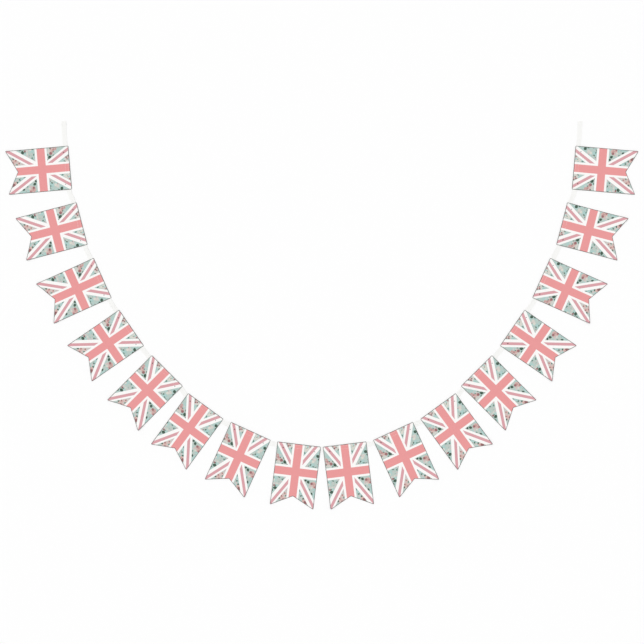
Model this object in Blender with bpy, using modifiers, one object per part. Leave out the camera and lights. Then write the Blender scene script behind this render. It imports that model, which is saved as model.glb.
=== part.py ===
"""Fabric bunting laid out flat in an open swag.

Sixteen swallow-tailed cloth flags are sewn by their top edges to one narrow tape, which runs behind them and
has a short free end at each side. Seen from above, +X runs along the swag, +Y towards the free ends of the
tape, and +Z up from the surface that the bunting lies on. All lengths are in metres.
"""

import math
from collections import namedtuple

import bmesh
import bpy
from mathutils import Vector
from mathutils.geometry import interpolate_bezier

MM = 0.001

# One flag
FLAG_WIDTH = 140 * MM
FLAG_LENGTH = 203 * MM  # from the top edge to the tips of the tails
NOTCH_DEPTH = 35 * MM  # how far the notch is cut up between the tails
FLAG_THICKNESS = 1.2 * MM

# The tape
TAPE_WIDTH = 15 * MM
TAPE_THICKNESS = 1.0 * MM
TAPE_BELOW_EDGE = 1.5 * MM  # between a flag's top edge and the tape's edge behind it
TAPE_FREE_END = 80 * MM
TAPE_END_TURN = math.radians(2.5)  # how much more upright the tape's free end lies than the last flag

# How a flag lies over the tape
CLOTH_GAP = 0.3 * MM
PAST_TAPE = 2 * MM  # the flag stays level this far past the tape before it comes down
COMING_DOWN = 26 * MM  # the length over which it comes down to the surface

# The right half of the swag, from its middle outwards, a row for each flag: the bare gap before the flag, the
# heading of that gap and the lean of the flag's own top edge. Both angles are in degrees above +X.
SwagRow = namedtuple("SwagRow", "gap heading lean")
SWAG = (
    SwagRow(gap=3.8 * MM, heading=0.0, lean=7.0),
    SwagRow(gap=23.8 * MM, heading=12.0, lean=24.6),
    SwagRow(gap=27.2 * MM, heading=21.7, lean=36.2),
    SwagRow(gap=30.0 * MM, heading=52.5, lean=44.9),
    SwagRow(gap=41.2 * MM, heading=49.8, lean=55.5),
    SwagRow(gap=46.8 * MM, heading=57.6, lean=65.8),
    SwagRow(gap=48.4 * MM, heading=65.5, lean=75.4),
    SwagRow(gap=45.8 * MM, heading=70.8, lean=85.1),
)

# Fineness of the meshes
FLAG_COLUMNS = 14  # an even number, so that one line of points runs to the notch
ROWS_COMING_DOWN = 3
ROWS_LYING_FLAT = 7
STEPS_IN_A_GAP = 6
STEPS_BEHIND_A_FLAG = 5
STEPS_ALONG_AN_END = 5

PRINTED_CLOTH = dict(name="printed cloth", colour=(0.85, 0.34, 0.34), roughness=0.85)
WHITE_TAPE = dict(name="white tape", colour=(0.88, 0.88, 0.86), roughness=0.9)


def heading_vector(angle):
    return Vector((math.cos(angle), math.sin(angle)))


def cloth_material(name, colour, roughness):
    material = bpy.data.materials.new(name)
    material.use_nodes = True
    shader = material.node_tree.nodes["Principled BSDF"]
    shader.inputs["Base Color"].default_value = (*colour, 1.0)
    shader.inputs["Roughness"].default_value = roughness
    shader.inputs["Metallic"].default_value = 0.0
    material.diffuse_color = (*colour, 1.0)
    return material


def right_half_edges():
    """The two ends of each flag's top edge on the right half, from the swag's middle outwards."""
    edges = []
    corner = Vector((0.0, 0.0))
    for row in SWAG:
        start = corner + heading_vector(math.radians(row.heading)) * row.gap
        corner = start + heading_vector(math.radians(row.lean)) * FLAG_WIDTH
        edges.append((start, corner))
    return edges


def all_edges():
    """The top edges of all the flags from left to right, each from its left end to its right end."""
    right = right_half_edges()
    left = [(Vector((-end.x, end.y)), Vector((-start.x, start.y))) for start, end in reversed(right)]
    return left + right


def flag_outline_depth(across):
    """How far below the top edge the cut edge lies, for across from 0 at one side to 1 at the other."""
    return FLAG_LENGTH - NOTCH_DEPTH * (1 - abs(2 * across - 1))


def flag_rows():
    """Stations down a flag as (depth, height, drop): its depth below the top edge, the underside's height
    there, and the share of the way from the level part to the swallow-tailed cut edge."""
    over_tape = TAPE_THICKNESS + CLOTH_GAP
    level_to = TAPE_BELOW_EDGE + TAPE_WIDTH + PAST_TAPE
    rows = [(0.0, over_tape, 0.0), (level_to, over_tape, 0.0)]
    for step in range(1, ROWS_COMING_DOWN + 1):
        share = step / ROWS_COMING_DOWN
        eased = share * share * (3 - 2 * share)
        rows.append((level_to + COMING_DOWN * share, over_tape * (1 - eased), 0.0))
    rows += [(level_to + COMING_DOWN, 0.0, step / ROWS_LYING_FLAT) for step in range(1, ROWS_LYING_FLAT + 1)]
    return rows


def flag_mesh():
    """The underside of one flag, with the middle of its top edge at the origin and its tails towards -Y."""
    rows = flag_rows()
    shape = bmesh.new()
    bmesh.ops.create_grid(shape, x_segments=FLAG_COLUMNS, y_segments=len(rows) - 1, size=0.5)
    for point in shape.verts:
        across = point.co.x + 0.5
        depth, height, drop = rows[round((0.5 - point.co.y) * (len(rows) - 1))]
        depth += (flag_outline_depth(across) - depth) * drop
        point.co = Vector(((across - 0.5) * FLAG_WIDTH, -depth, height))
    mesh = bpy.data.meshes.new("flag")
    shape.to_mesh(mesh)
    shape.free()
    mesh.shade_smooth()
    return mesh


def hang_flag(collection, mesh, material, number, edge):
    """One flag, put with its top edge on the given line. Its thickness is laid on top of the underside."""
    left, right = edge
    flag = bpy.data.objects.new(f"flag_{number:02d}", mesh)
    middle = (left + right) / 2
    flag.location = (middle.x, middle.y, 0.0)
    flag.rotation_euler.z = math.atan2(right.y - left.y, right.x - left.x)
    cloth = flag.modifiers.new("cloth thickness", "SOLIDIFY")
    cloth.thickness = FLAG_THICKNESS
    cloth.offset = 1.0
    if not mesh.materials:
        mesh.materials.append(material)
    collection.objects.link(flag)
    return flag


def tape_line(edges):
    """The tape's centreline from one free end to the other. It is straight behind each flag and bends in the
    bare gaps, where a Bezier curve leads from the one flag's direction to the next one's."""
    below = TAPE_BELOW_EDGE + TAPE_WIDTH / 2
    runs = []
    for left, right in edges:
        along = (right - left).normalized()
        down = Vector((along.y, -along.x))
        runs.append((left + down * below, right + down * below, along))
    line = tape_free_end(runs[0][0], -runs[0][2], -TAPE_END_TURN)[::-1]
    for number, (start, end, along) in enumerate(runs):
        line += [start.lerp(end, step / STEPS_BEHIND_A_FLAG) for step in range(STEPS_BEHIND_A_FLAG)]
        if number + 1 < len(runs):
            next_start, _, next_along = runs[number + 1]
            reach = (next_start - end).length / 3
            bend = interpolate_bezier(
                end, end + along * reach, next_start - next_along * reach, next_start, STEPS_IN_A_GAP + 1
            )
            line += [point.to_2d() for point in bend[:-1]]
    last_end, last_along = runs[-1][1:]
    return line + [last_end] + tape_free_end(last_end, last_along, TAPE_END_TURN)


def tape_free_end(corner, along, turn):
    """Points of a free end that leaves a flag at the given corner and turns a little on its way."""
    step = TAPE_FREE_END / STEPS_ALONG_AN_END
    heading = math.atan2(along.y, along.x)
    points = []
    here = corner
    for number in range(1, STEPS_ALONG_AN_END + 1):
        here = here + heading_vector(heading + turn * number / STEPS_ALONG_AN_END) * step
        points.append(here)
    return points


def side_of_line(line, distance):
    """The line's points moved sideways by the given distance, to the left of its direction if positive."""
    moved = []
    for number, point in enumerate(line):
        before = line[max(number - 1, 0)]
        after = line[min(number + 1, len(line) - 1)]
        along = (after - before).normalized()
        moved.append(point + Vector((-along.y, along.x)) * distance)
    return moved


def lay_tape(collection, material, line):
    """The tape as a flat outline with half its thickness to each side of its middle plane."""
    half = TAPE_WIDTH / 2
    outline = side_of_line(line, half) + side_of_line(line, -half)[::-1]
    curve = bpy.data.curves.new("tape", "CURVE")
    curve.dimensions = "2D"
    curve.fill_mode = "BOTH"
    curve.extrude = TAPE_THICKNESS / 2
    edge = curve.splines.new("POLY")
    edge.points.add(len(outline) - 1)
    for point, place in zip(edge.points, outline):
        point.co = (place.x, place.y, 0.0, 1.0)
    edge.use_cyclic_u = True
    curve.materials.append(material)
    tape = bpy.data.objects.new("tape", curve)
    tape.location.z = TAPE_THICKNESS / 2
    collection.objects.link(tape)
    return tape


def middle_height(edges, tape_outline):
    """The Y halfway between the lowest tail and the top of the tape's free ends."""
    reach = [point.y for point in tape_outline]
    for left, right in edges:
        along = (right - left).normalized()
        down = Vector((along.y, -along.x)) * FLAG_LENGTH
        reach += [left.y, right.y, (left + down).y, (right + down).y]
    return (min(reach) + max(reach)) / 2


def main():
    for old in list(bpy.data.objects):
        bpy.data.objects.remove(old)
    bunting = bpy.data.collections.new("fabric bunting")
    bpy.context.scene.collection.children.link(bunting)

    edges = all_edges()
    line = tape_line(edges)
    half = TAPE_WIDTH / 2
    outline = side_of_line(line, half) + side_of_line(line, -half)

    swag = bpy.data.objects.new("swag", None)
    swag.location.y = -middle_height(edges, outline)
    bunting.objects.link(swag)

    mesh = flag_mesh()
    cloth = cloth_material(**PRINTED_CLOTH)
    for number, edge in enumerate(edges, start=1):
        hang_flag(bunting, mesh, cloth, number, edge).parent = swag
    lay_tape(bunting, cloth_material(**WHITE_TAPE), line).parent = swag


main()
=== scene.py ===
"""Fabric bunting laid out flat: printed swallow-tailed flags, overlocked all round and sewn to a tape."""

import math
import random
from collections import namedtuple

import bpy
from bpy.props import FloatProperty, FloatVectorProperty, IntProperty, PointerProperty
from bpy.types import Operator, Panel, PropertyGroup
from mathutils import Euler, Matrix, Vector
from mathutils.geometry import interpolate_bezier


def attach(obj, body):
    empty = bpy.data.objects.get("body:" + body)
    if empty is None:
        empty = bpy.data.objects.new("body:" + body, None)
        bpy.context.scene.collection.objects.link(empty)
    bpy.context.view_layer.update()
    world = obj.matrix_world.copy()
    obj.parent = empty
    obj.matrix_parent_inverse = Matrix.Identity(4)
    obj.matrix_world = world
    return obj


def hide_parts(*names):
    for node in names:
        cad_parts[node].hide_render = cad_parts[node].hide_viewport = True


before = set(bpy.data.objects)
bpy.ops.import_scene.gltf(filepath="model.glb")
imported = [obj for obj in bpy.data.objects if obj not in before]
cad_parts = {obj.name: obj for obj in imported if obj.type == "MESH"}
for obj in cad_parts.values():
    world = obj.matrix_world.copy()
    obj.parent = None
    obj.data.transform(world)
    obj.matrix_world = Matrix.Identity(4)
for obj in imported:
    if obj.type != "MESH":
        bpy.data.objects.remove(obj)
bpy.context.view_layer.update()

bl_info = {
    "name": "Fabric Bunting",
    "version": (1, 0, 0),
    "blender": (4, 5, 0),
    "location": "View3D > Sidebar > Bunting",
    "description": "Lays printed cloth flags and a woven tape on the bunting's frame",
    "category": "Object",
}

MM = 0.001
PRINT_MAP = "print"
TAPE_MAP = "along the tape"
LOOP_MAP = "along a loop"
PALER = "paler"
CLOTH_CREASE = math.radians(50)
THREAD_CREASE = math.radians(80)
FLAG_NODES = sorted(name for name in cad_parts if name.startswith("flag"))


def smooth_share(value, low, high):
    """0 below low, 1 above high and an even S in between."""
    share = min(max((value - low) / (high - low), 0.0), 1.0)
    return share * share * (3 - 2 * share)


def ink(red, green, blue):
    """A colour given in 0 to 255 as the eye sees it, as the linear colour that a shader takes."""
    return tuple(
        share / 12.92 if share <= 0.04045 else ((share + 0.055) / 1.055) ** 2.4
        for share in (red / 255, green / 255, blue / 255)
    )


# Reading the frame

FlagPlace = namedtuple("FlagPlace", "middle along down width length notch")


def read_flag(node):
    """Where a flag lies, and how large it is, from its solid. Its four highest points are the ends of its
    top edge and of the level strip below it. Its points on the floor lie evenly about its middle line."""
    points = {tuple(round(value, 6) for value in vertex.co) for vertex in node.data.vertices}
    points = [Vector(point) for point in sorted(points)]
    top = max(point.z for point in points)
    tolerance = 0.01 * MM
    level = [point.to_2d() for point in points if point.z > top - tolerance]
    lying = [point.to_2d() for point in points if point.z < tolerance]
    down = (sum(lying, Vector((0, 0))) / len(lying) - sum(level, Vector((0, 0))) / len(level)).normalized()
    edge = sorted(level, key=down.dot)[:2]
    along = Vector((-down.y, down.x))
    middle = (edge[0] + edge[1]) / 2
    on_middle_line = [point for point in lying if abs((point - middle).dot(along)) < MM]
    return FlagPlace(
        middle=middle,
        along=along,
        down=down,
        width=(edge[0] - edge[1]).length,
        length=max((point - middle).dot(down) for point in lying),
        notch=max((point - middle).dot(down) for point in on_middle_line),
    )


flag_places = [read_flag(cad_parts[name]) for name in FLAG_NODES]


# Sizes and colours


def metres(name, description, default):
    return FloatProperty(name=name, description=description, default=default, unit="LENGTH", precision=5)


def radians(name, description, default):
    return FloatProperty(name=name, description=description, default=default, subtype="ANGLE")


def colour(name, description, default):
    return FloatVectorProperty(
        name=name, description=description, default=default, size=3, min=0.0, max=1.0, subtype="COLOR"
    )


class BuntingFlagSizes(PropertyGroup):
    """One flag, and how it lies over the tape and on the surface."""

    width: metres("Width", "Width of a flag at its top edge", flag_places[0].width)
    length: metres("Length", "From the top edge to the tips of the tails", flag_places[0].length)
    notch: metres("Notch", "From the top edge to the point of the notch", flag_places[0].notch)
    thickness: metres("Thickness", "Thickness of the printed cloth", 0.6 * MM)
    over_tape: metres("Over the tape", "Height of the cloth's underside over the tape", 1.15 * MM)
    lying: metres("Lying", "Height of the cloth's underside away from the tape", 0.25 * MM)
    top_drop: metres("Top drop", "How much lower the top edge is than the cloth over the tape", 0.25 * MM)
    level_to: metres("Level to", "How far below the top edge the cloth stays level", 18.5 * MM)
    down_by: metres("Down by", "How far below the top edge the cloth lies on the surface", 46 * MM)
    ripple: metres("Ripple", "Height of the soft ripples towards the tails", 0.8 * MM)
    tail_lift: metres("Tail lift", "How high the tip of a tail curls up at most", 2.2 * MM)
    tail_reach: metres("Tail reach", "How far from its tip a tail starts to curl up", 48 * MM)
    trim: metres("Trim", "How far the tip of a tail is cut back under its overlocked edge", 1.2 * MM)
    columns: IntProperty(name="Columns", description="Columns of faces across a flag, even", default=46)
    rows: IntProperty(name="Rows", description="Rows of faces down a flag", default=66)


class BuntingTapeSizes(PropertyGroup):
    """The tape that carries the flags."""

    width: metres("Width", "Width of the tape", 15 * MM)
    thickness: metres("Thickness", "Thickness of the tape", 0.8 * MM)
    below_edge: metres("Below the edge", "From a flag's top edge down to the tape's edge", 1.5 * MM)
    free_end: metres("Free end", "Length of each free end past the last flag", 80 * MM)
    end_turn: radians("End turn", "How much a free end turns on its way", math.radians(2.5))
    hem: metres("Hem", "Length of the tape that is folded under at each free end", 9 * MM)
    fold_bulge: metres("Fold bulge", "How far the fold of a hem bulges past the tape's end", 0.5 * MM)
    above_floor: metres("Above floor", "Height of the tape's underside", 0.05 * MM)
    pucker: metres("Pucker", "Height of the puckers on the short side of each bend", 0.9 * MM)
    pucker_spacing: metres("Pucker spacing", "From one pucker to the next", 4.6 * MM)


class BuntingThreadSizes(PropertyGroup):
    """The overlocked edge and the seams."""

    edge_width: metres("Edge width", "Width of the overlocked edge", 2.0 * MM)
    edge_height: metres("Edge height", "Height of the overlocked edge", 1.25 * MM)
    edge_pitch: metres("Edge pitch", "From one overlock loop to the next", 1.15 * MM)
    edge_inset: metres("Edge inset", "From the cloth's edge in to the overlock's middle line", 0.45 * MM)
    edge_slant: metres("Edge slant", "How far a loop leans along the edge over its width", 0.5 * MM)
    corner: metres("Corner", "How far from a corner the overlocked edge starts to turn", 1.6 * MM)
    stitch: metres("Stitch", "Length of one stitch", 2.7 * MM)
    stitch_gap: metres("Stitch gap", "Bare cloth between two stitches", 0.6 * MM)
    thread: metres("Thread", "Thickness of the sewing thread", 0.42 * MM)
    first_row: metres("First row", "From the top edge down to the first row of stitches", 4.2 * MM)
    second_row: metres("Second row", "From the top edge down to the second row of stitches", 13.8 * MM)


class BuntingPrintSizes(PropertyGroup):
    """The printed cross and diagonals, measured from the top left corner of a flag."""

    middle_across: metres("Middle across", "From the left side to the middle of the cross", 69.0 * MM)
    middle_down: metres("Middle down", "From the top edge to the middle of the cross", 89.7 * MM)
    upright: metres("Upright", "Width of the coloured upright", 25.2 * MM)
    arms: metres("Arms", "Width of the coloured arms", 25.6 * MM)
    border: metres("Border", "Width of the white border round the cross", 6.7 * MM)
    band: metres("Band", "Width of the white diagonal bands", 25.0 * MM)
    stripe: metres("Stripe", "Width of the coloured stripe on each diagonal band", 9.1 * MM)
    lean: radians("Lean", "Angle of the diagonals from the upright", math.atan(0.655))
    upper_left: metres("Upper left", "Offset of the upper left stripe to the right", -1.3 * MM)
    upper_right: metres("Upper right", "Offset of the upper right stripe to the right", -1.4 * MM)
    lower_left: metres("Lower left", "Offset of the lower left stripe to the right", 2.1 * MM)
    lower_right: metres("Lower right", "Offset of the lower right stripe to the right", 1.0 * MM)


class BuntingColours(PropertyGroup):
    """The colours of the print, the threads and the tape."""

    cross: colour("Cross", "Salmon pink of the cross", ink(230, 152, 152))
    stripe: colour("Stripe", "Mauver pink of the diagonal stripes", ink(214, 159, 165))
    white: colour("White", "Unprinted cloth", ink(247, 246, 244))
    mint: colour("Mint", "Ground of the flower print", ink(171, 203, 199))
    pale_mint: colour("Pale mint", "Paler clouds on the ground", ink(184, 199, 192))
    leaf: colour("Leaf", "Dark green of the leaves", ink(48, 74, 59))
    leaf_vein: colour("Leaf vein", "Light green of the veins and leaf edges", ink(132, 158, 144))
    stem: colour("Stem", "Grey green of the thin stems", ink(126, 150, 138))
    cream: colour("Cream", "Cream petals", ink(220, 219, 207))
    dusk: colour("Dusk", "Greyish petals", ink(198, 193, 194))
    peach: colour("Peach", "Peach petals", ink(222, 190, 182))
    coral: colour("Coral", "Coral petals", ink(190, 138, 140))
    burgundy: colour("Burgundy", "Dark rose petals", ink(144, 86, 90))
    heart: colour("Heart", "Dark creases between petals", ink(110, 70, 64))
    overlock: colour("Overlock", "Grey brown thread round the flags", ink(96, 90, 86))
    thread: colour("Thread", "White sewing thread", ink(244, 243, 240))
    tape: colour("Tape", "White woven tape", ink(247, 247, 245))


class BuntingStageSettings(PropertyGroup):
    """The floor, the light and the camera."""

    floor: colour("Floor", "Pale floor", (0.93, 0.93, 0.93))
    floor_side: metres("Floor side", "Side of the square floor", 60.0)
    sky: FloatProperty(name="Sky", description="Strength of the even light from all round", default=0.79)
    sun: FloatProperty(name="Sun", description="Strength of the soft light from above", default=0.98)
    sun_spread: radians("Sun spread", "Angle over which the light spreads", math.radians(50))
    view_across: metres("View across", "Middle of the view to the right of the swag's middle", 0.3 * MM)
    view_up: metres("View up", "Middle of the view above the middle of the outline", -21.3 * MM)
    view_width: metres("View width", "Width of the floor that the camera sees", 2.080)
    lens: FloatProperty(name="Lens", description="Focal length in millimetres", default=50.0, min=1.0)


# Modelling helpers


def add_primitive(operator, name, **settings):
    """A new primitive under its name, alone selected and active."""
    bpy.ops.object.select_all(action="DESELECT")
    operator(**settings)
    piece = bpy.context.object
    piece.name = piece.data.name = name
    return piece


def add_grid(name, columns, rows):
    """A flat grid of faces, one by one in size, round the origin."""
    return add_primitive(
        bpy.ops.mesh.primitive_grid_add, name, x_subdivisions=columns, y_subdivisions=rows, size=1.0
    )


def add_sleeve(name, ends, cuts):
    """A six-sided sleeve along X, one long and one wide, cut across into even lengths."""
    sleeve = add_primitive(
        bpy.ops.mesh.primitive_cylinder_add,
        name,
        vertices=6,
        radius=0.5,
        depth=1.0,
        end_fill_type=ends,
        rotation=(0, math.radians(90), 0),
    )
    bpy.ops.object.transform_apply(location=True, rotation=True, scale=True)
    bpy.ops.object.mode_set(mode="EDIT")
    bpy.ops.mesh.select_mode(type="EDGE")
    bpy.ops.mesh.select_all(action="DESELECT")
    bpy.ops.object.mode_set(mode="OBJECT")
    for edge in sleeve.data.edges:
        start, end = (sleeve.data.vertices[number].co.x for number in edge.vertices)
        edge.select = abs(start - end) > 0.5
    bpy.ops.object.mode_set(mode="EDIT")
    bpy.ops.mesh.subdivide(number_cuts=cuts)
    bpy.ops.object.mode_set(mode="OBJECT")
    return sleeve


def select_only(piece):
    bpy.ops.object.select_all(action="DESELECT")
    piece.select_set(True)
    bpy.context.view_layer.objects.active = piece


def copy_piece(pattern, name):
    """A copy of a modelled pattern, with a mesh of its own."""
    piece = pattern.copy()
    piece.data = pattern.data.copy()
    piece.name = piece.data.name = name
    bpy.context.scene.collection.objects.link(piece)
    return piece


def apply_modifiers(piece):
    select_only(piece)
    for modifier in list(piece.modifiers):
        bpy.ops.object.modifier_apply(modifier=modifier.name)


def repeat(piece, name, count, step):
    """A modifier that repeats the piece, each copy one step on from the last."""
    copies = piece.modifiers.new(name, "ARRAY")
    copies.count = count
    copies.use_relative_offset = False
    copies.use_constant_offset = True
    copies.constant_offset_displace = step
    return copies


def put_in_place(piece, place):
    """Lays a piece, made with its flag's top edge on X and its tails towards -Y, where the flag lies."""
    piece.location = (*place.middle, 0.0)
    piece.rotation_euler = Euler((0.0, 0.0, math.atan2(place.along.y, place.along.x)))
    select_only(piece)
    bpy.ops.object.transform_apply(location=True, rotation=True, scale=True)


def smooth(piece, angle):
    select_only(piece)
    bpy.ops.object.shade_smooth_by_angle(angle=angle, keep_sharp_edges=False)


def finish_piece(piece):
    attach(piece, "root")


def write_map(piece, name, places):
    """A UV map on the piece, from the place of each of its points on the flat cloth."""
    layer = piece.data.uv_layers.new(name=name)
    for loop in piece.data.loops:
        layer.uv[loop.index].vector = places[loop.vertex_index]


# The way the flags lie

FlagLay = namedtuple("FlagLay", "phase wave cross_phase left_tail right_tail bow")

# Waves and bows in millimetres, and the least lift of a tail as a share of the most
SHORTEST_WAVE = 58
LONGEST_WAVE = 92
LEAST_LIFT = 0.1
MOST_BOW = 0.35


def flag_lay(number):
    """How one flag lies on the surface: its ripples, the lift of its two tails and the bow of its sides."""
    chance = random.Random(number)
    return FlagLay(
        phase=chance.uniform(0, 1),
        wave=chance.uniform(SHORTEST_WAVE, LONGEST_WAVE) * MM,
        cross_phase=chance.uniform(0, 1),
        left_tail=chance.uniform(LEAST_LIFT, 1),
        right_tail=chance.uniform(LEAST_LIFT, 1),
        bow=chance.uniform(-MOST_BOW, MOST_BOW) * MM,
    )


def underside_height(sizes, lay, across, depth):
    """Height of a flag's underside at a point that far right of its middle line and below its top edge."""
    top_strip = 3 * MM
    slant, waves_down, steepness, lengthways = 0.35, 0.7, 1.5, 0.8
    lying_share = smooth_share(depth, sizes.level_to, sizes.down_by)
    height = sizes.over_tape + (sizes.lying - sizes.over_tape) * lying_share
    height -= sizes.top_drop * (1 - smooth_share(depth, 0, top_strip))
    free = smooth_share(depth, sizes.down_by, sizes.length)
    swell = math.sin(2 * math.pi * (across / lay.wave + lay.phase + slant * depth / sizes.length))
    swell *= math.cos(2 * math.pi * (waves_down * depth / sizes.length + lay.cross_phase))
    height += sizes.ripple * free * max(swell, 0.0) ** steepness
    side = sizes.width / 2 - abs(across)
    tail = lay.left_tail if across < 0 else lay.right_tail
    from_tip = math.hypot(side, lengthways * (sizes.length - depth))
    return height + sizes.tail_lift * tail * (1 - smooth_share(from_tip, 0, sizes.tail_reach)) ** 2


def side_bow(sizes, lay, across, depth):
    """How far the bow of a flag's sides moves that point outwards."""
    return lay.bow * math.sin(math.pi * depth / sizes.length) * across / (sizes.width / 2)


def cut_depth(sizes, across):
    """How far below the top edge the swallow-tailed edge lies, at that distance from the middle line."""
    return sizes.notch + (sizes.length - sizes.notch) * abs(across) / (sizes.width / 2)


def model_flat_flag(sizes):
    """A flat flag as a fine grid. Its rows are level near the tape and bend towards the swallow tail. Its
    corners are cut back a little, so that they stay inside the overlocked edge."""
    flag = add_grid("flat flag", sizes.columns, sizes.rows)
    bends_from, bend_power, corner = 0.25, 0.8, 0.499
    for vertex in flag.data.vertices:
        across = vertex.co.x * sizes.width
        share = 0.5 - vertex.co.y
        bend = smooth_share(share, bends_from, 1.0) ** bend_power
        depth = share * sizes.notch + (cut_depth(sizes, across) - sizes.notch) * bend
        if min(abs(vertex.co.x), abs(vertex.co.y)) > corner:
            across -= math.copysign(0.5 * sizes.trim, across)
            depth += 0.5 * sizes.trim if share < 0.5 else -sizes.trim
        vertex.co = Vector((across, -depth, 0.0))
    places = [(vertex.co.x + sizes.width / 2, -vertex.co.y) for vertex in flag.data.vertices]
    write_map(flag, PRINT_MAP, places)
    return flag


def lay_flag(pattern, sizes, number, place):
    """One flag of cloth, laid over the tape. Its underside gets the second material."""
    cloth = copy_piece(pattern, f"cloth_{number:02d}")
    lay = flag_lay(number)
    for vertex in cloth.data.vertices:
        across, depth = vertex.co.x, -vertex.co.y
        height = underside_height(sizes, lay, across, depth)
        vertex.co = Vector((across + side_bow(sizes, lay, across, depth), -depth, height))
    body = cloth.modifiers.new("thickness", "SOLIDIFY")
    body.thickness = sizes.thickness
    body.offset = 1.0
    body.material_offset = 1
    apply_modifiers(cloth)
    smooth(cloth, CLOTH_CREASE)
    put_in_place(cloth, place)
    return cloth


# The overlocked edge


def rounded_corners(corners, reach):
    """The closed outline through the corners, with each corner turned in a short curve."""
    outline = []
    turn_points = 5
    for number, corner in enumerate(corners):
        before = (corners[number - 1] - corner).normalized() * reach
        after = (corners[(number + 1) % len(corners)] - corner).normalized() * reach
        handles = (corner + before / 3, corner + after / 3)
        outline += interpolate_bezier(corner + before, *handles, corner + after, turn_points)
    return outline


def spaced_points(outline, spacing):
    """The closed outline with more points where two of its points are further apart than the spacing."""
    points = []
    for number, point in enumerate(outline):
        following = outline[(number + 1) % len(outline)]
        steps = max(1, round((following - point).length / spacing))
        points += [point.lerp(following, step / steps) for step in range(steps)]
    return points


def edge_line(sizes, threads, lay):
    """The overlock's middle line round one flag, at the height of the middle of the cloth."""
    half = sizes.width / 2 - threads.edge_inset
    top = -threads.edge_inset
    tail_slope = (sizes.length - sizes.notch) / (sizes.width / 2)
    rise = threads.edge_inset * math.hypot(1, tail_slope)
    corners = [
        Vector((-half, top, 0)),
        Vector((half, top, 0)),
        Vector((half, -cut_depth(sizes, half) + rise, 0)),
        Vector((0, -sizes.notch + rise, 0)),
        Vector((-half, -cut_depth(sizes, half) + rise, 0)),
    ]
    spacing = 3 * MM
    line = spaced_points(rounded_corners(corners, threads.corner), spacing)
    for point in line:
        across, depth = point.x, -point.y
        point.z = underside_height(sizes, lay, across, depth) + sizes.thickness / 2
        point.x += side_bow(sizes, lay, across, depth)
    return line


def model_overlock_loop(threads):
    """One loop of the overlocked edge: a short sleeve along X, thick in its middle and leaning."""
    loop = add_sleeve("overlock loop", ends="NOTHING", cuts=1)
    places = [(vertex.co.x + 0.5, vertex.co.y + 0.5) for vertex in loop.data.vertices]
    write_map(loop, LOOP_MAP, places)
    middle, drawn_in = 0.25, 0.8
    for vertex in loop.data.vertices:
        full = 1.0 if abs(vertex.co.x) < middle else drawn_in
        vertex.co.x = (vertex.co.x + 0.5) * threads.edge_pitch + vertex.co.y * threads.edge_slant
        vertex.co.y *= threads.edge_width * full
        vertex.co.z *= threads.edge_height * full
    return loop


def guide_curve(line):
    """A closed curve through the points, for a modifier to follow."""
    curve = bpy.data.curves.new("edge line", "CURVE")
    curve.dimensions = "3D"
    curve.twist_mode = "Z_UP"
    path = curve.splines.new("POLY")
    path.points.add(len(line) - 1)
    for point, here in zip(path.points, line):
        point.co = (*here, 1.0)
    path.use_cyclic_u = True
    guide = bpy.data.objects.new("edge line", curve)
    bpy.context.scene.collection.objects.link(guide)
    return guide


def overlock_edge(pattern, sizes, threads, number, place):
    """The overlocked edge of one flag: the loop repeated along the flag's edge line."""
    line = edge_line(sizes, threads, flag_lay(number))
    length = sum((point - line[index - 1]).length for index, point in enumerate(line))
    count = round(length / threads.edge_pitch)
    guide = guide_curve(line)
    joining_distance = 0.02 * MM
    closing_distance = 0.1 * MM
    edge = copy_piece(pattern, f"edge_{number:02d}")
    for vertex in edge.data.vertices:
        vertex.co.x *= length / count / threads.edge_pitch
    loops = repeat(edge, "loops", count, (length / count, 0, 0))
    loops.use_merge_vertices = True
    loops.merge_threshold = joining_distance
    follow = edge.modifiers.new("follow", "CURVE")
    follow.object = guide
    follow.deform_axis = "POS_X"
    apply_modifiers(edge)
    bpy.data.objects.remove(guide)
    bpy.ops.object.mode_set(mode="EDIT")
    bpy.ops.mesh.select_all(action="SELECT")
    bpy.ops.mesh.remove_doubles(threshold=closing_distance)
    bpy.ops.mesh.normals_make_consistent(inside=False)
    bpy.ops.object.mode_set(mode="OBJECT")
    smooth(edge, THREAD_CREASE)
    put_in_place(edge, place)
    return edge


# The seams


def model_stitch(threads):
    """One stitch along X, on top of the cloth at height zero, with both ends drawn down into the cloth."""
    stitch = add_sleeve("stitch", ends="TRIFAN", cuts=3)
    narrowing, above_cloth, drawn_down = 0.35, 0.3, 0.75
    for vertex in stitch.data.vertices:
        towards_end = abs(vertex.co.x) * 2
        full = 1 - narrowing * towards_end ** 4
        vertex.co.x *= threads.stitch
        vertex.co.y *= threads.thread * full
        sunk = drawn_down * towards_end ** 3
        vertex.co.z = threads.thread * (vertex.co.z * full + above_cloth - sunk)
    return stitch


def model_seam(sizes, threads):
    """Both rows of stitches across one flag."""
    seam = model_stitch(threads)
    seam.name = seam.data.name = "seam"
    pitch = threads.stitch + threads.stitch_gap
    clear_width = sizes.width - 2 * threads.edge_width
    count = int(clear_width / pitch)
    repeat(seam, "along", count, (pitch, 0, 0))
    repeat(seam, "rows", 2, (0, threads.first_row - threads.second_row, 0))
    apply_modifiers(seam)
    for vertex in seam.data.vertices:
        vertex.co.x -= (count - 1) * pitch / 2
        vertex.co.y -= threads.first_row
        vertex.co.z += sizes.over_tape + sizes.thickness
    smooth(seam, THREAD_CREASE)
    return seam


# The tape

TapeStation = namedtuple("TapeStation", "point run height pucker")


def free_end(start, along, turn, length, steps):
    """Points of a free end that leaves a flag and turns a little on its way."""
    heading = math.atan2(along.y, along.x)
    points = []
    here = start
    for step in range(1, steps + 1):
        angle = heading + turn * step / steps
        here = here + Vector((math.cos(angle), math.sin(angle))) * (length / steps)
        points.append(here)
    return points


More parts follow.
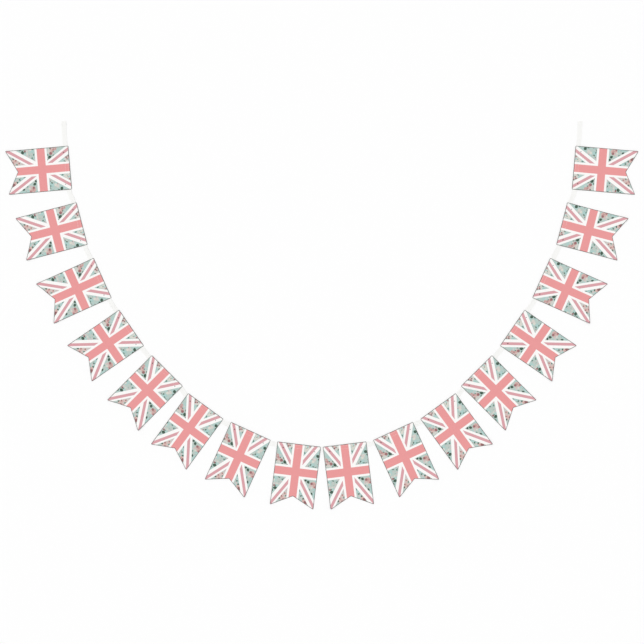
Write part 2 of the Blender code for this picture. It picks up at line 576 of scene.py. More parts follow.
def tape_line(sizes):
    """The tape's middle line as (point, pucker): straight behind each flag and bending in the bare gaps,
    where pucker rises to 1 halfway."""
    end_steps, flag_steps, fewest_gap_steps = 20, 24, 12
    gap_step = 1.1 * MM
    full_turn = math.radians(12)
    pucker_fullness = 0.6
    below = sizes.below_edge + sizes.width / 2
    runs = []
    for place in flag_places:
        half = place.along * place.width / 2
        under = place.middle + place.down * below
        runs.append((under - half, under + half, place.along))
    first_end = free_end(runs[0][0], -runs[0][2], -sizes.end_turn, sizes.free_end, end_steps)
    line = [(point, 0.0) for point in reversed(first_end)]
    for number, (start, end, along) in enumerate(runs):
        line += [(start.lerp(end, step / flag_steps), 0.0) for step in range(flag_steps)]
        if number + 1 < len(runs):
            next_start, _, next_along = runs[number + 1]
            reach = (next_start - end).length / 3
            steps = max(fewest_gap_steps, round((next_start - end).length / gap_step))
            handles = (end + along * reach, next_start - next_along * reach)
            bend = interpolate_bezier(end, *handles, next_start, steps + 1)
            turned = smooth_share(along.angle(next_along), 0, full_turn)
            for step, point in enumerate(bend[:-1]):
                pucker = turned * math.sin(math.pi * step / steps) ** pucker_fullness
                line.append((point.to_2d(), pucker))
    _, last_end, last_along = runs[-1]
    line.append((last_end, 0.0))
    last_free_end = free_end(last_end, last_along, sizes.end_turn, sizes.free_end, end_steps)
    line += [(point, 0.0) for point in last_free_end]
    return line


def tape_stations(sizes):
    """The tape from the cut edge inside the one hem to the cut edge inside the other: for each station its
    point, its run along the cloth, its height and its pucker."""
    line = tape_line(sizes)
    points = [point for point, _ in line]
    layer_spacing = 1.15
    lower = sizes.above_floor + sizes.thickness / 2
    upper = lower + sizes.thickness * layer_spacing
    settles_within = 7 * MM

    def hem(end, inwards):
        """The turned-under hem, from its cut edge to the fold at the tape's end."""
        under_steps, fold_steps = 6, 4
        laid = []
        for step in range(under_steps):
            laid.append((end + inwards * sizes.hem * (1 - step / under_steps), lower, 0.0))
        for step in range(fold_steps + 1):
            bulge = sizes.fold_bulge * math.sin(math.pi * step / fold_steps)
            laid.append((end - inwards * bulge, lower + (upper - lower) * step / fold_steps, 0.0))
        return laid

    laid = hem(points[0], (points[1] - points[0]).normalized())
    total = sum((following - point).length for point, following in zip(points, points[1:]))
    run = 0.0
    for number in range(1, len(points) - 1):
        point, pucker = line[number]
        run += (point - points[number - 1]).length
        settled = smooth_share(min(run, total - run), sizes.hem, sizes.hem + settles_within)
        laid.append((point, upper + (lower - upper) * settled, pucker))
    laid += reversed(hem(points[-1], (points[-2] - points[-1]).normalized()))

    stations = []
    run = 0.0
    last_point, last_height, _ = laid[0]
    for point, height, pucker in laid:
        run += math.hypot((point - last_point).length, height - last_height)
        stations.append(TapeStation(point, run, height, pucker))
        last_point, last_height = point, height
    return stations


def weave_tape(sizes):
    """The tape as one strip of cloth, folded under at its ends, with small puckers where it bends."""
    stations = tape_stations(sizes)
    last = len(stations) - 1
    rows, near, hem_stations = 8, 4, 16
    pucker_from = -0.1
    tape = add_grid("woven_tape", last, rows)
    places = []
    for vertex in tape.data.vertices:
        number = round((vertex.co.x + 0.5) * last)
        station = stations[number]
        middle, reach = number, near
        if min(number, last - number) < hem_stations:
            middle = hem_stations if number < len(stations) / 2 else last - hem_stations
            reach = near // 2
        before, after = stations[max(middle - reach, 0)].point, stations[min(middle + reach, last)].point
        along = (after - before).normalized()
        side = vertex.co.y
        offset = Vector((-along.y, along.x)) * side * sizes.width
        short_side = smooth_share(side, pucker_from, 0.5)
        wave = 0.5 + 0.5 * math.sin(2 * math.pi * station.run / sizes.pucker_spacing)
        height = station.height + sizes.pucker * station.pucker * short_side * wave
        places.append((station.run, (side + 0.5) * sizes.width))
        vertex.co = (*(station.point + offset), height)
    write_map(tape, TAPE_MAP, places)
    body = tape.modifiers.new("thickness", "SOLIDIFY")
    body.thickness = sizes.thickness
    body.offset = 0.0
    apply_modifiers(tape)
    smooth(tape, CLOTH_CREASE)
    return tape, stations[-1].run


# Materials


def arithmetic(operation, other_first=False):
    """A method of Wire that adds one Math node to the wire's finish."""

    def method(self, *others):
        values = (*others, self) if other_first else (self, *others)
        return self.finish.maths(operation, *values)

    return method


class Wire:
    """One output of a shader node. A sum on wires, such as 1 - mask, adds Math nodes to their finish."""

    def __init__(self, finish, socket):
        self.finish = finish
        self.socket = socket

    __add__ = arithmetic("ADD")
    __radd__ = arithmetic("ADD", other_first=True)
    __sub__ = arithmetic("SUBTRACT")
    __rsub__ = arithmetic("SUBTRACT", other_first=True)
    __mul__ = arithmetic("MULTIPLY")
    __rmul__ = arithmetic("MULTIPLY", other_first=True)
    __truediv__ = arithmetic("DIVIDE")
    __abs__ = arithmetic("ABSOLUTE")
    __lt__ = arithmetic("LESS_THAN")
    __gt__ = arithmetic("GREATER_THAN")
    least = arithmetic("MINIMUM")
    most = arithmetic("MAXIMUM")
    part = arithmetic("FRACT")
    sine = arithmetic("SINE")
    root = arithmetic("SQRT")

    def rise(self, low, high, start=0.0, end=1.0):
        """The start value below low, the end value above high and an even S in between."""
        return self.finish.node(
            "MapRange",
            dict(interpolation_type="SMOOTHSTEP"),
            {"Value": self, "From Min": low, "From Max": high, "To Min": start, "To Max": end},
        )

    def inside(self, softness):
        """1 where this distance from a shape is below zero, with a soft edge."""
        return self.rise(-softness, softness, 1.0, 0.0)


class Finish:
    """A material that is built up node by node."""

    def __init__(self, name, **constants):
        self.material = bpy.data.materials.new(name)
        self.material.use_nodes = True
        self.tree = self.material.node_tree
        self.shader = self.tree.nodes["Principled BSDF"]
        for socket, value in constants.items():
            self.shader.inputs[socket.replace("_", " ")].default_value = value

    def node(self, kind, settings=None, inputs=None, output=0):
        """A node of the given kind, with its settings made first, then its sockets' values and wires."""
        node = self.tree.nodes.new("ShaderNode" + kind)
        for name, value in (settings or {}).items():
            if name == "stops":
                self.set_stops(node.color_ramp, value)
            else:
                setattr(node, name, value)
        for name, value in (inputs or {}).items():
            self.join(value, node.inputs[name])
        return Wire(self, node.outputs[output])

    @staticmethod
    def set_stops(ramp, stops):
        while len(ramp.elements) < len(stops):
            ramp.elements.new(1.0)
        for element, (position, shade) in zip(ramp.elements, stops):
            element.position = position
            element.color = (*shade, 1.0)

    def join(self, value, socket):
        if isinstance(value, Wire):
            self.tree.links.new(value.socket, socket)
        elif socket.type == "RGBA" and len(value) == 3:
            socket.default_value = (*value, 1.0)
        else:
            socket.default_value = value

    def maths(self, operation, *values):
        return self.node("Math", dict(operation=operation), dict(enumerate(values)))

    def vectors(self, operation, *values, output=0):
        return self.node("VectorMath", dict(operation=operation), dict(enumerate(values)), output)

    def dot(self, vector, other):
        return self.vectors("DOT_PRODUCT", vector, other, output="Value")

    def scaled(self, vector, factor):
        return self.node("VectorMath", dict(operation="SCALE"), {0: vector, "Scale": factor})

    def parts(self, vector):
        split = self.node("SeparateXYZ", None, {"Vector": vector}).socket.node
        return [Wire(self, output) for output in split.outputs]

    def blend(self, share, under, over):
        """The colour over on top of the colour under, where share is 1."""
        return self.node("Mix", dict(data_type="RGBA"), {"Factor": share, 6: under, 7: over}, output=2)

    def noise(self, vector, scale, detail=2.0, output="Fac"):
        return self.node("TexNoise", None, {"Vector": vector, "Scale": scale, "Detail": detail}, output)

    def drawn_noise(self, vector, scales, detail=3.0):
        """Noise with a scale of its own for each direction, so that its specks are drawn out."""
        return self.noise(self.vectors("MULTIPLY", vector, scales), scale=1.0, detail=detail)

    def flat_place(self, map_name):
        """Each point's place on the flat cloth in millimetres, from a UV map in metres."""
        return self.scaled(self.node("UVMap", dict(uv_map=map_name)), 1 / MM)

    def surface(self, **inputs):
        for name, value in inputs.items():
            self.join(value, self.shader.inputs[name.replace("_", " ")])

    def bump(self, height, distance, strength):
        inputs = {"Height": height, "Distance": distance, "Strength": strength}
        self.surface(Normal=self.node("Bump", None, inputs))


# The flower print

Motif = namedtuple("Motif", "across down width length turn tint")


def motif_table(*rows):
    return [Motif(*row) for row in rows]


# Places and sizes are in millimetres from a flag's top left corner, and turns in degrees. A tint runs from
# 0, cream, over a greyish dusk, peach and coral to 1, burgundy, and on a leaf from pale to dark. The near
# roses lie on the far ones, those on the back ones, and the stray buds on the diagonals.
# Columns: across, down, width, length, turn, tint
NEAR_ROSES = motif_table(
    (31.6, 3.2, 5.8, 4.6, 20, 1.0),
    (35.6, 9.0, 6.4, 6.4, 60, 1.0),
    (41.2, 6.2, 5.2, 5.8, 130, 0.96),
    (101.4, 12.0, 10.8, 10.2, 70, 0.06),
    (106.2, 3.8, 6.8, 5.0, 10, 0.86),
    (8.0, 48.8, 10.2, 9.2, 40, 0.64),
    (19.4, 58.0, 11.2, 11.2, 130, 0.93),
    (2.4, 56.4, 4.4, 4.6, 75, 0.9),
    (6.2, 64.0, 9.4, 8.6, 200, 0.08),
    (121.2, 50.4, 9.8, 9.2, 10, 0.0),
    (126.6, 42.4, 10.0, 9.4, 60, 0.06),
    (5.2, 132.4, 9.0, 8.4, 300, 0.12),
    (5.6, 140.4, 7.2, 6.8, 0, 1.0),
    (42.8, 161.6, 5.0, 4.8, 250, 1.0),
    (32.8, 171.8, 5.4, 5.0, 80, 1.0),
    (39.4, 181.4, 7.4, 6.8, 150, 0.76),
    (112.2, 185.0, 14.8, 12.8, 90, 1.0),
    (125.2, 121.4, 10.0, 9.6, 150, 0.92),
    (137.2, 131.6, 9.0, 8.4, 0, 0.74),
)
FAR_ROSES = motif_table(
    (37.0, 4.4, 10.4, 8.8, 90, 0.38),
    (42.2, 12.6, 8.8, 8.4, 10, 0.08),
    (47.8, 4.6, 8.0, 7.6, 10, 0.06),
    (92.2, 5.6, 9.6, 9.0, 120, 0.06),
    (94.4, 17.0, 10.4, 9.8, 30, 0.02),
    (5.6, 41.4, 10.0, 8.4, 0, 0.56),
    (14.2, 41.6, 6.0, 5.6, 30, 0.16),
    (12.8, 54.4, 12.6, 11.6, 30, 0.44),
    (15.4, 65.8, 9.6, 8.0, 10, 0.06),
    (119.0, 42.4, 8.4, 8.0, 20, 0.2),
    (106.4, 66.6, 9.2, 6.6, 10, 0.24),
    (2.8, 123.0, 8.4, 8.2, 140, 0.04),
    (14.0, 133.6, 7.0, 6.6, 20, 0.04),
    (22.0, 134.4, 8.8, 8.6, 60, 0.18),
    (26.6, 126.4, 7.4, 7.0, 20, 0.2),
    (36.4, 111.4, 8.6, 5.4, 150, 0.24),
    (131.8, 122.6, 18.6, 17.2, 35, 0.53),
    (118.8, 134.0, 7.6, 7.2, 80, 0.16),
    (126.6, 135.0, 7.2, 6.8, 310, 0.02),
    (42.8, 163.2, 12.6, 11.8, 20, 0.38),
    (35.2, 174.2, 14.4, 13.4, 250, 0.46),
    (47.2, 175.8, 6.4, 8.2, 100, 0.36),
    (47.0, 150.4, 6.2, 10.0, 10, 0.24),
    (104.8, 179.2, 10.6, 9.8, 45, 0.45),
    (98.0, 172.2, 8.0, 7.4, 45, 0.16),
)
BACK_ROSES = motif_table(
    (45.4, 9.2, 9.4, 9.0, 200, 0.04),
    (36.2, 13.8, 6.4, 6.0, 80, 0.3),
    (96.6, 10.8, 9.6, 9.2, 310, 0.0),
    (104.4, 5.6, 8.0, 7.6, 40, 0.16),
    (6.4, 56.6, 12.2, 11.6, 120, 0.36),
    (19.6, 51.0, 9.0, 8.4, 60, 0.16),
    (1.6, 47.8, 7.4, 7.2, 20, 0.54),
    (12.4, 64.4, 8.0, 7.6, 10, 0.1),
    (124.6, 46.6, 9.8, 9.2, 150, 0.16),
    (3.4, 138.0, 9.0, 8.6, 45, 0.16),
    (33.6, 165.8, 7.6, 7.2, 30, 0.36),
    (41.2, 169.0, 8.2, 7.8, 100, 0.28),
    (47.4, 163.6, 7.8, 7.4, 60, 0.3),
    (45.6, 155.0, 8.8, 9.0, 10, 0.14),
    (43.8, 177.4, 9.2, 8.4, 75, 0.34),
    (31.4, 181.8, 9.6, 8.6, 160, 0.36),
    (110.2, 178.2, 9.4, 8.8, 20, 0.36),
    (105.2, 187.2, 8.6, 7.6, 110, 0.62),
    (122.4, 128.6, 9.4, 8.8, 65, 0.3),
    (132.8, 131.8, 9.8, 9.0, 210, 0.4),
)
LEAVES = motif_table(
    (47.4, 14.8, 4.4, 7.8, 20, 0.5),
    (97.2, 9.6, 3.6, 7.4, 40, 0.12),
    (91.4, 26.0, 4.6, 8.4, -15, 0.3),
    (14.6, 49.8, 3.6, 6.6, -40, 0.65),
    (3.6, 59.8, 3.8, 6.8, 40, 0.5),
    (31.4, 62.3, 10.4, 13.8, -46, 1.0),
    (39.7, 69.3, 3.2, 6.0, -72, 0.95),
    (23.2, 67.4, 4.0, 7.6, 75, 0.45),
    (25.4, 50.4, 3.8, 7.4, -25, 0.25),
    (134.8, 31.4, 10.2, 13.0, -58, 1.0),
    (138.2, 41.4, 4.6, 8.0, -12, 0.9),
    (114.4, 61.8, 4.8, 7.8, 32, 0.65),
    (108.2, 65.8, 3.0, 5.6, 70, 0.45),
    (123.8, 66.4, 4.2, 8.2, 98, 0.3),
    (131.0, 67.8, 3.4, 7.0, 80, 0.15),
    (18.8, 113.0, 3.8, 8.4, -64, 0.65),
    (29.4, 118.8, 4.6, 6.4, -30, 0.75),
    (9.1, 148.5, 10.2, 13.8, 86, 1.0),
    (9.2, 140.4, 3.6, 6.0, 80, 1.0),
    (1.8, 156.6, 4.2, 8.0, 10, 0.6),
    (1.6, 115.6, 3.6, 6.8, 5, 0.6),
    (104.4, 113.4, 7.0, 9.2, 66, 1.0),
    (114.0, 117.6, 9.0, 11.6, -34, 1.0),
    (129.4, 154.0, 5.8, 10.6, -32, 1.0),
    (120.6, 141.6, 3.8, 7.8, -30, 0.2),
    (27.2, 180.2, 5.4, 7.6, 50, 0.8),
    (46.6, 169.8, 4.0, 7.4, 15, 0.4),
    (89.4, 148.4, 3.6, 8.8, -20, 0.6),
    (95.4, 164.8, 4.8, 6.6, 50, 0.7),
    (104.0, 173.0, 5.4, 7.8, 60, 0.85),
    (120.2, 192.6, 4.2, 7.6, -60, 0.5),
)
BUDS = motif_table(
    (52.4, 19.4, 2.4, 3.4, 20, 0.8),
    (28.4, 55.6, 2.4, 3.6, -40, 0.8),
    (113.4, 54.4, 2.4, 3.4, 30, 0.3),
    (118.0, 43.4, 3.4, 4.4, 60, 0.36),
    (136.8, 57.4, 2.4, 3.4, -20, 0.7),
    (32.8, 115.4, 3.0, 4.0, 20, 0.85),
    (19.6, 126.4, 2.4, 3.4, 30, 0.4),
    (99.0, 161.8, 3.0, 4.2, 20, 0.5),
    (91.2, 160.4, 2.4, 3.4, -30, 0.5),
    (134.6, 146.4, 2.6, 3.6, -20, 0.6),
    (22.6, 38.4, 2.4, 3.4, -20, 0.5),
)
STRAY_BUDS = motif_table(
    (19.4, 15.4, 4.4, 6.6, -30, 0.9),
    (122.8, 18.4, 3.8, 5.0, 150, 0.16),
)


def gather(cloth, place, motifs):
    """For each point of the cloth, how far right and down it lies in the one motif that it is in, from -1
    to 1 each way, that motif's tint, and 1 if there is one. Motifs of one table don't overlap."""
    right, down, tint, cover = 0.0, 0.0, 0.0, 0.0
    for motif in motifs:
        turn = math.radians(motif.turn)
        offset = cloth.vectors("SUBTRACT", place, (motif.across, motif.down, 0.0))
        here_right = cloth.dot(offset, Vector((math.cos(turn), math.sin(turn), 0.0)) * 2 / motif.width)
        here_down = cloth.dot(offset, Vector((-math.sin(turn), math.cos(turn), 0.0)) * 2 / motif.length)
        within = here_right * here_right + here_down * here_down < 1.0
        right = cloth.maths("MULTIPLY_ADD", within, here_right, right)
        down = cloth.maths("MULTIPLY_ADD", within, here_down, down)
        tint = cloth.maths("MULTIPLY_ADD", within, motif.tint, tint)
        cover = within + cover
    return right, down, tint, cover


def round_middle(cloth, right, down):
    """Distance and angle of each point from a flower's middle."""
    return (right * right + down * down).root(), cloth.maths("ARCTAN2", down, right)


def petal_colour(cloth, colours, tint):
    shades = (colours.cream, colours.dusk, colours.peach, colours.coral, colours.burgundy)
    stops = list(zip((0.0, 0.22, 0.44, 0.7, 1.0), shades))
    return cloth.node("ValToRGB", dict(stops=stops), {"Fac": tint}, output="Color")


def paint_roses(cloth, place, colours, ground, roses):
    """Round roses: a wavy rim and petals that wind inwards, with a dark crease under each petal's edge."""
    right, down, tint, cover = gather(cloth, place, roses)
    petal_turns, crease_width, rim_softness = 2.8, 0.4, 0.05
    radius, angle = round_middle(cloth, right, down)
    rim = 0.88 + 0.07 * (5 * angle + 9 * tint).sine() + 0.04 * (9 * angle).sine()
    wave = 0.15 * (3 * angle + 5 * tint).sine() + 0.06 * (7 * angle).sine()
    petals = (petal_turns * radius + angle / (2 * math.pi) + wave).part()
    crease = 1 - petals.rise(0.0, crease_width)
    shade = (0.6 * crease + 0.5 * (1 - radius.rise(0.05, 0.6))).least(1.0)
    mottled = tint + 0.3 * cloth.noise(place, scale=0.4) - 0.15
    light = petal_colour(cloth, colours, mottled)
    dark = cloth.blend(0.1 + 0.5 * tint, petal_colour(cloth, colours, 1.3 * tint + 0.1), colours.heart)
    petal = cloth.blend(shade, light, dark)
    petal = cloth.blend(0.45 * petals.rise(0.7, 1.0), petal, colours.cream)
    return cloth.blend(cover * (radius - rim).inside(rim_softness), ground, petal)


def paint_leaves(cloth, place, colours, ground):
    """Pointed leaves with a middle vein, side veins and a lighter half."""
    right, down, tint, cover = gather(cloth, place, LEAVES)
    half_width = (1 - down * down) * (0.95 - 0.2 * down)
    vein_width, side_vein_width, veins_down, vein_slope = 0.05, 0.12, 3.2, 1.4
    leaf = (abs(right) - half_width).inside(0.08)
    vein = (abs(right) - vein_width).inside(0.04)
    side_veins = ((veins_down * down + vein_slope * abs(right)).part() - side_vein_width).inside(0.08)
    veins = (vein + 0.5 * side_veins).least(1.0)
    green = cloth.blend(0.14 * (right > 0.0), colours.leaf, colours.leaf_vein)
    green = cloth.blend(0.8 * (1 - tint), green, colours.leaf_vein)
    green = cloth.blend(0.4 * veins, green, colours.leaf_vein)
    return cloth.blend(cover * leaf, ground, green)


def paint_buds(cloth, place, colours, ground, buds):
    """Closed buds: a pointed oval of petals with a crease, held by dark sepals at its foot."""
    right, down, tint, cover = gather(cloth, place, buds)
    half_width = (1 - down * down) * (0.8 + 0.25 * down)
    crease_slant, crease_width = 0.35, 0.08
    petal = petal_colour(cloth, colours, tint)
    crease = (abs(right - crease_slant * down) - crease_width).inside(0.08)
    petal = cloth.blend(0.5 * crease, petal, colours.heart)
    sepals = (0.5 - 0.9 * abs(right) - down).inside(0.1)
    bud = cloth.blend(sepals, petal, colours.leaf)
    return cloth.blend(cover * (abs(right) - half_width).inside(0.1), ground, bud)


def paint_sprigs(cloth, place, colours, ground, spacing, size):
    """Sprigs scattered over the ground and turned at random: a bowed stem, two leaves and a blossom."""
    straying, empty_share = 0.7, 0.25
    sockets = {"Vector": place, "Scale": 1 / spacing, "Randomness": straying}
    cells = cloth.node("TexVoronoi", dict(voronoi_dimensions="2D"), sockets).socket.node.outputs
    chance, other_chance, _ = cloth.parts(Wire(cloth, cells["Color"]))
    offset = cloth.vectors("SUBTRACT", place, Wire(cloth, cells["Position"]))
    sockets = {"Vector": cloth.scaled(offset, 1 / size), "Angle": 2 * math.pi * chance}
    right, down, _ = cloth.parts(cloth.node("VectorRotate", dict(rotation_type="Z_AXIS"), sockets))

    bow = abs(right - 0.1 + 0.12 * down * down) - 0.06
    stem = bow.inside(0.05) * (abs(down - 0.2) < 1.5)
    beside, beyond = abs(right) - 0.42, down - 0.62
    slant, breadth = 0.77 * beside + 0.64 * beyond, 0.77 * beyond - 0.64 * beside
    leaves = (slant * slant * 3.6 + breadth * breadth * 22 - 1).inside(0.35)
    shown = other_chance > empty_share
    ground = cloth.blend(0.4 * shown * stem.most(leaves), ground, colours.stem)

    radius, angle = round_middle(cloth, right, down + 0.95)
    rim = 0.4 + 0.24 * abs((2.5 * angle).sine())
    petal = petal_colour(cloth, colours, 0.75 * other_chance * other_chance)
    petal = cloth.blend((radius - 0.17).inside(0.06), petal, colours.coral)
    return cloth.blend(0.8 * shown * (radius - rim).inside(0.09), ground, petal)


def paint_flag(cloth, place, sizes, colours):
    """The whole print: flowers on mint in the fields, under the white bands, the stripes and the cross."""
    across, down, _ = cloth.parts(place)
    right = across - sizes.middle_across / MM
    below = down - sizes.middle_down / MM

    soft = 0.25
    clouds = cloth.noise(place, scale=0.045, detail=3.0).rise(0.4, 0.62)
    ground = cloth.blend(clouds, colours.mint, colours.pale_mint)
    ground = paint_sprigs(cloth, place, colours, ground, spacing=9.5, size=2.4)
    for roses in (BACK_ROSES, FAR_ROSES):
        ground = paint_roses(cloth, place, colours, ground, roses)
    ground = paint_leaves(cloth, place, colours, ground)
    ground = paint_buds(cloth, place, colours, ground, BUDS)
    ground = paint_roses(cloth, place, colours, ground, NEAR_ROSES)

    lean_across, lean_down = math.cos(sizes.lean), math.sin(sizes.lean)
    falling = lean_across * right - lean_down * below
    rising = lean_across * right + lean_down * below
    on_right = right > 0.0
    falling_offset = sizes.upper_left / MM + (sizes.lower_right - sizes.upper_left) / MM * on_right
    rising_offset = sizes.lower_left / MM + (sizes.upper_right - sizes.lower_left) / MM * on_right
    band = abs(falling).least(abs(rising)) - sizes.band / 2 / MM
    stripe = abs(falling - falling_offset).least(abs(rising - rising_offset)) - sizes.stripe / 2 / MM
    cross = (abs(right) - sizes.upright / 2 / MM).least(abs(below) - sizes.arms / 2 / MM)

    painted = cloth.blend(band.inside(soft), ground, colours.white)
    painted = cloth.blend(stripe.inside(soft), painted, colours.stripe)
    painted = paint_buds(cloth, place, colours, painted, STRAY_BUDS)
    painted = cloth.blend((cross - sizes.border / MM).inside(soft), painted, colours.white)
    return cloth.blend(cross.inside(soft), painted, colours.cross)


WOVEN = dict(Roughness=0.85, Sheen_Weight=0.12, Sheen_Roughness=0.6, Specular_IOR_Level=0.25)


def weave_height(across, down, pitch):
    """A plain weave: threads that pass over and under each other, from 0 to 1."""
    turn = math.pi / pitch
    return 0.5 + 0.5 * (turn * across).sine() * (turn * down).sine()


def printed_cloth(sizes, colours):
    """The printed side of the cloth. Its last mix with white is left at none."""
    cloth = Finish("printed face", **WOVEN)
    place = cloth.flat_place(PRINT_MAP)
    fine, drawn_out = 1.6, 0.08
    wander = cloth.noise(place, scale=0.5, output="Color")
    wander = cloth.vectors("SUBTRACT", wander, (0.5, 0.5, 0.5))
    printed_place = cloth.vectors("MULTIPLY_ADD", wander, (0.5, 0.5, 0.0), place)
    painted = paint_flag(cloth, printed_place, sizes, colours)

    across, down, _ = cloth.parts(place)
    slub = cloth.drawn_noise(place, (drawn_out, fine, 1.0))
    slub = slub + cloth.drawn_noise(place, (fine, drawn_out, 1.0))
    thread_pitch, stray = 0.62, 0.12
    threads = weave_height(across + stray * slub, down + stray * slub, thread_pitch)
    # Painted shade: the colour is darker where the weave's threads pass under, with random slub tone on top
    slub_tone_and_weave_shade = (0.93 + 0.05 * slub + 0.05 * threads).least(1.0)
    painted = cloth.blend(0.0, cloth.scaled(painted, slub_tone_and_weave_shade), colours.white)
    painted.socket.node.name = PALER
    cloth.surface(Base_Color=painted, Roughness=0.8 + 0.1 * slub)
    cloth.bump(threads + 0.6 * slub, distance=0.2 * MM, strength=0.7)
    return cloth.material


def bleached_reverse(face):
    """The back of the printed cloth, where the print shows through paler."""
    paler_share = 0.6
    reverse = face.copy()
    reverse.name = "printed reverse"
    reverse.node_tree.nodes[PALER].inputs["Factor"].default_value = paler_share
    return reverse


def white_tape(colours):
    """A herringbone tape: slanting ribs that turn back at each line along the tape."""
    tape = Finish("woven tape", **WOVEN)
    place = tape.flat_place(TAPE_MAP)
    along, across, _ = tape.parts(place)
    zigzag_width, rib_pitch, steepness = 5.0, 0.9, 2.0
    zigzag = abs((across / zigzag_width).part() - 0.5) * zigzag_width
    rib = 0.5 + 0.5 * (2 * math.pi / rib_pitch * (along + steepness * zigzag)).sine()
    grain = tape.drawn_noise(place, (2.5, 0.5, 1.0), detail=2.0)
    # Painted shade: the tape is darker between its ribs, with random grain tone on top
    shade = (0.93 + 0.05 * rib + 0.04 * grain).least(1.0)
    tape.surface(Base_Color=tape.scaled(colours.tape, shade), Roughness=0.8 + 0.1 * grain)
    tape.bump(rib + 0.5 * grain, distance=0.15 * MM, strength=0.8)
    return tape.material


def spun_thread(name, shade, looped=False):
    """Spun thread: fine twisted fibres, with a painted highlight that makes them a little lighter where
    they stand up. Looped thread has painted shade that makes it darker between two loops, and lies in three
    strands across each of them, with painted shade between the strands."""
    thread = Finish(name, Roughness=0.75, Sheen_Weight=0.2, Specular_IOR_Level=0.3)
    place = thread.node("TexCoord", None, None, output="Object")
    fibres_a_metre = (1800.0, 1800.0, 900.0)
    fibres = thread.drawn_noise(place, fibres_a_metre)
    # Painted highlight where the fibres stand up, mixed with their random tone
    light = (0.8 + 0.4 * fibres).least(1.2)
    if looped:
        along, _, _ = thread.parts(thread.node("UVMap", dict(uv_map=LOOP_MAP)))
        strands = abs((3 * math.pi * along).sine())
        # Painted shade between two loops and between the strands of each loop
        light = light * (0.7 + 0.4 * (math.pi * along).sine()) * (0.9 + 0.15 * strands)
        fibres = 0.5 * fibres + strands
    thread.surface(Base_Color=thread.scaled(shade, light), Roughness=0.65 + 0.2 * fibres)
    thread.bump(fibres, distance=0.1 * MM, strength=0.6)
    return thread.material


# Operators


class BUNTING_OT_lay_tape(Operator):
    """Weave the tape, lay it in its swag and turn its ends under"""

    bl_idname = "bunting.lay_tape"
    bl_label = "Lay the Tape"

    def execute(self, context):
        scene = context.scene
        sizes = scene.bunting_tape
        tape, length = weave_tape(sizes)
        tape.data.materials.append(white_tape(scene.bunting_colours))
        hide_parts("tape")
        finish_piece(tape)
        return {"FINISHED"}


class BUNTING_OT_lay_flags(Operator):
    """Cut the flags from printed cloth and lay each one over the tape"""

    bl_idname = "bunting.lay_flags"
    bl_label = "Lay the Flags"

    def execute(self, context):
        scene = context.scene
        sizes = scene.bunting_flag
        face = printed_cloth(scene.bunting_print, scene.bunting_colours)
        pattern = model_flat_flag(sizes)
        pattern.data.materials.append(face)
        pattern.data.materials.append(bleached_reverse(face))
        for number, (node, place) in enumerate(zip(FLAG_NODES, flag_places), start=1):
            cloth = lay_flag(pattern, sizes, number, place)
            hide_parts(node)
            finish_piece(cloth)
        bpy.data.objects.remove(pattern)
        return {"FINISHED"}


class BUNTING_OT_overlock_edges(Operator):
    """Overlock the edge of each flag all round with grey thread"""

    bl_idname = "bunting.overlock_edges"
    bl_label = "Overlock the Edges"

    def execute(self, context):
        scene = context.scene
        thread = spun_thread("overlock thread", scene.bunting_colours.overlock, looped=True)
        pattern = model_overlock_loop(scene.bunting_thread)
        pattern.data.materials.append(thread)
        for number, place in enumerate(flag_places, start=1):
            edge = overlock_edge(pattern, scene.bunting_flag, scene.bunting_thread, number, place)
            finish_piece(edge)
        bpy.data.objects.remove(pattern)
        return {"FINISHED"}


class BUNTING_OT_sew_seams(Operator):
    """Sew each flag to the tape with two rows of stitches"""

    bl_idname = "bunting.sew_seams"
    bl_label = "Sew the Seams"

    def execute(self, context):
        scene = context.scene
        sizes = scene.bunting_flag
        pattern = model_seam(sizes, scene.bunting_thread)
        pattern.data.materials.append(spun_thread("sewing thread", scene.bunting_colours.thread))
        for number, place in enumerate(flag_places, start=1):
            seam = copy_piece(pattern, f"seam_{number:02d}")
            put_in_place(seam, place)
            finish_piece(seam)
        bpy.data.objects.remove(pattern)
        return {"FINISHED"}


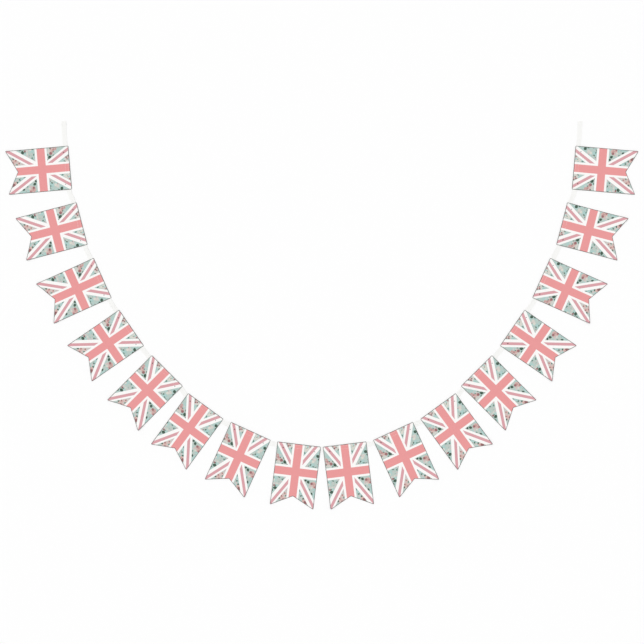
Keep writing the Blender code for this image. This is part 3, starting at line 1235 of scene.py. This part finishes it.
class BUNTING_OT_set_stage(Operator):
    """Put a pale floor, soft light and a camera straight above the bunting"""

    bl_idname = "bunting.set_stage"
    bl_label = "Set the Stage"

    def execute(self, context):
        scene = context.scene
        settings = scene.bunting_stage
        floor = add_primitive(bpy.ops.mesh.primitive_plane_add, "floor", size=settings.floor_side)
        paint = Finish("pale floor", Roughness=0.9, Specular_IOR_Level=0.1)
        paint.surface(Base_Color=tuple(settings.floor))
        floor.data.materials.append(paint.material)

        scene.world = bpy.data.worlds.new("sky")
        scene.world.use_nodes = True
        sky = scene.world.node_tree.nodes["Background"]
        sky.inputs["Color"].default_value = (1.0, 1.0, 1.0, 1.0)
        sky.inputs["Strength"].default_value = settings.sky

        bpy.ops.object.select_all(action="DESELECT")
        slant = (math.radians(-20), math.radians(-18), 0)
        bpy.ops.object.light_add(type="SUN", location=(-1.5, 1.5, 4.0), rotation=slant)
        sun = context.object
        sun.name = "soft light"
        sun.data.energy = settings.sun
        sun.data.angle = settings.sun_spread

        camera_data = bpy.data.cameras.new("camera")
        camera_data.lens = settings.lens
        camera = bpy.data.objects.new("camera", camera_data)
        height = settings.view_width * settings.lens / camera_data.sensor_width
        camera.location = (settings.view_across, settings.view_up, height)
        scene.collection.objects.link(camera)
        scene.camera = camera
        scene.view_settings.view_transform = "Standard"
        return {"FINISHED"}


class BUNTING_PT_panel(Panel):
    """The bunting's sizes, colours and steps, in the 3D view's sidebar"""

    bl_idname = "BUNTING_PT_panel"
    bl_label = "Fabric Bunting"
    bl_space_type = "VIEW_3D"
    bl_region_type = "UI"
    bl_category = "Bunting"

    def draw(self, context):
        layout = self.layout
        for step in STEPS:
            layout.operator(step.bl_idname)
        for attribute, group in SETTINGS.items():
            box = layout.box()
            box.label(text=group.__doc__)
            for name in group.__annotations__:
                box.prop(getattr(context.scene, attribute), name)


SETTINGS = {
    "bunting_flag": BuntingFlagSizes,
    "bunting_tape": BuntingTapeSizes,
    "bunting_thread": BuntingThreadSizes,
    "bunting_print": BuntingPrintSizes,
    "bunting_colours": BuntingColours,
    "bunting_stage": BuntingStageSettings,
}
STEPS = (
    BUNTING_OT_lay_tape,
    BUNTING_OT_lay_flags,
    BUNTING_OT_overlock_edges,
    BUNTING_OT_sew_seams,
    BUNTING_OT_set_stage,
)


def register():
    for cls in (*SETTINGS.values(), *STEPS, BUNTING_PT_panel):
        bpy.utils.register_class(cls)
    for attribute, group in SETTINGS.items():
        setattr(bpy.types.Scene, attribute, PointerProperty(type=group))


def unregister():
    for attribute in SETTINGS:
        delattr(bpy.types.Scene, attribute)
    for cls in reversed((*SETTINGS.values(), *STEPS, BUNTING_PT_panel)):
        bpy.utils.unregister_class(cls)


def main():
    register()
    bpy.ops.bunting.lay_tape()
    bpy.ops.bunting.lay_flags()
    bpy.ops.bunting.overlock_edges()
    bpy.ops.bunting.sew_seams()
    bpy.ops.bunting.set_stage()


if __name__ == "__main__":
    main()
